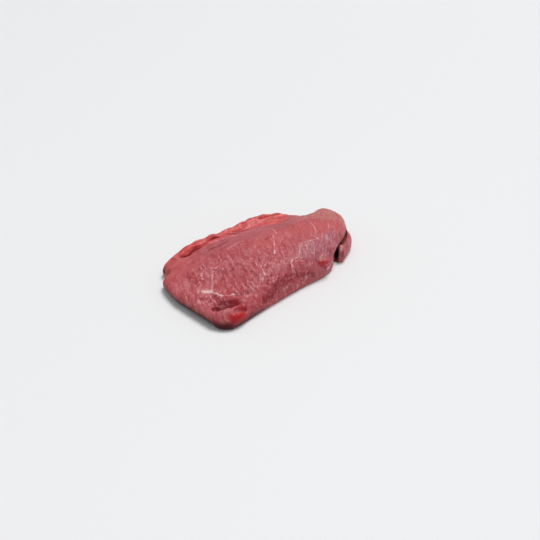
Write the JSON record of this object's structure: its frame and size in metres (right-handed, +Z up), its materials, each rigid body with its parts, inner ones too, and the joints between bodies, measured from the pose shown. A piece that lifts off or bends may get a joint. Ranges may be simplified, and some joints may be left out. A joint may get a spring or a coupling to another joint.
{
  "type": "raw beef top blade",
  "caption": "Raw beef top blade steak: one thick flat piece of lean red muscle, thin at one end, with a round lobe and a loose flap at the other.",
  "frame": {"origin": "on the flat underside, below the middle of the piece's box", "axes": "+Z up from the underside, +X along the length towards the round thick lobe, -Y towards the straight near long side"},
  "size_m": [0.182, 0.0988, 0.023],
  "materials": {
    "raw_beef": "moist, soft sheen"
  },
  "bodies": {
    "root": {"beef_top_blade": "raw_beef"}
  },
  "joints": []
}
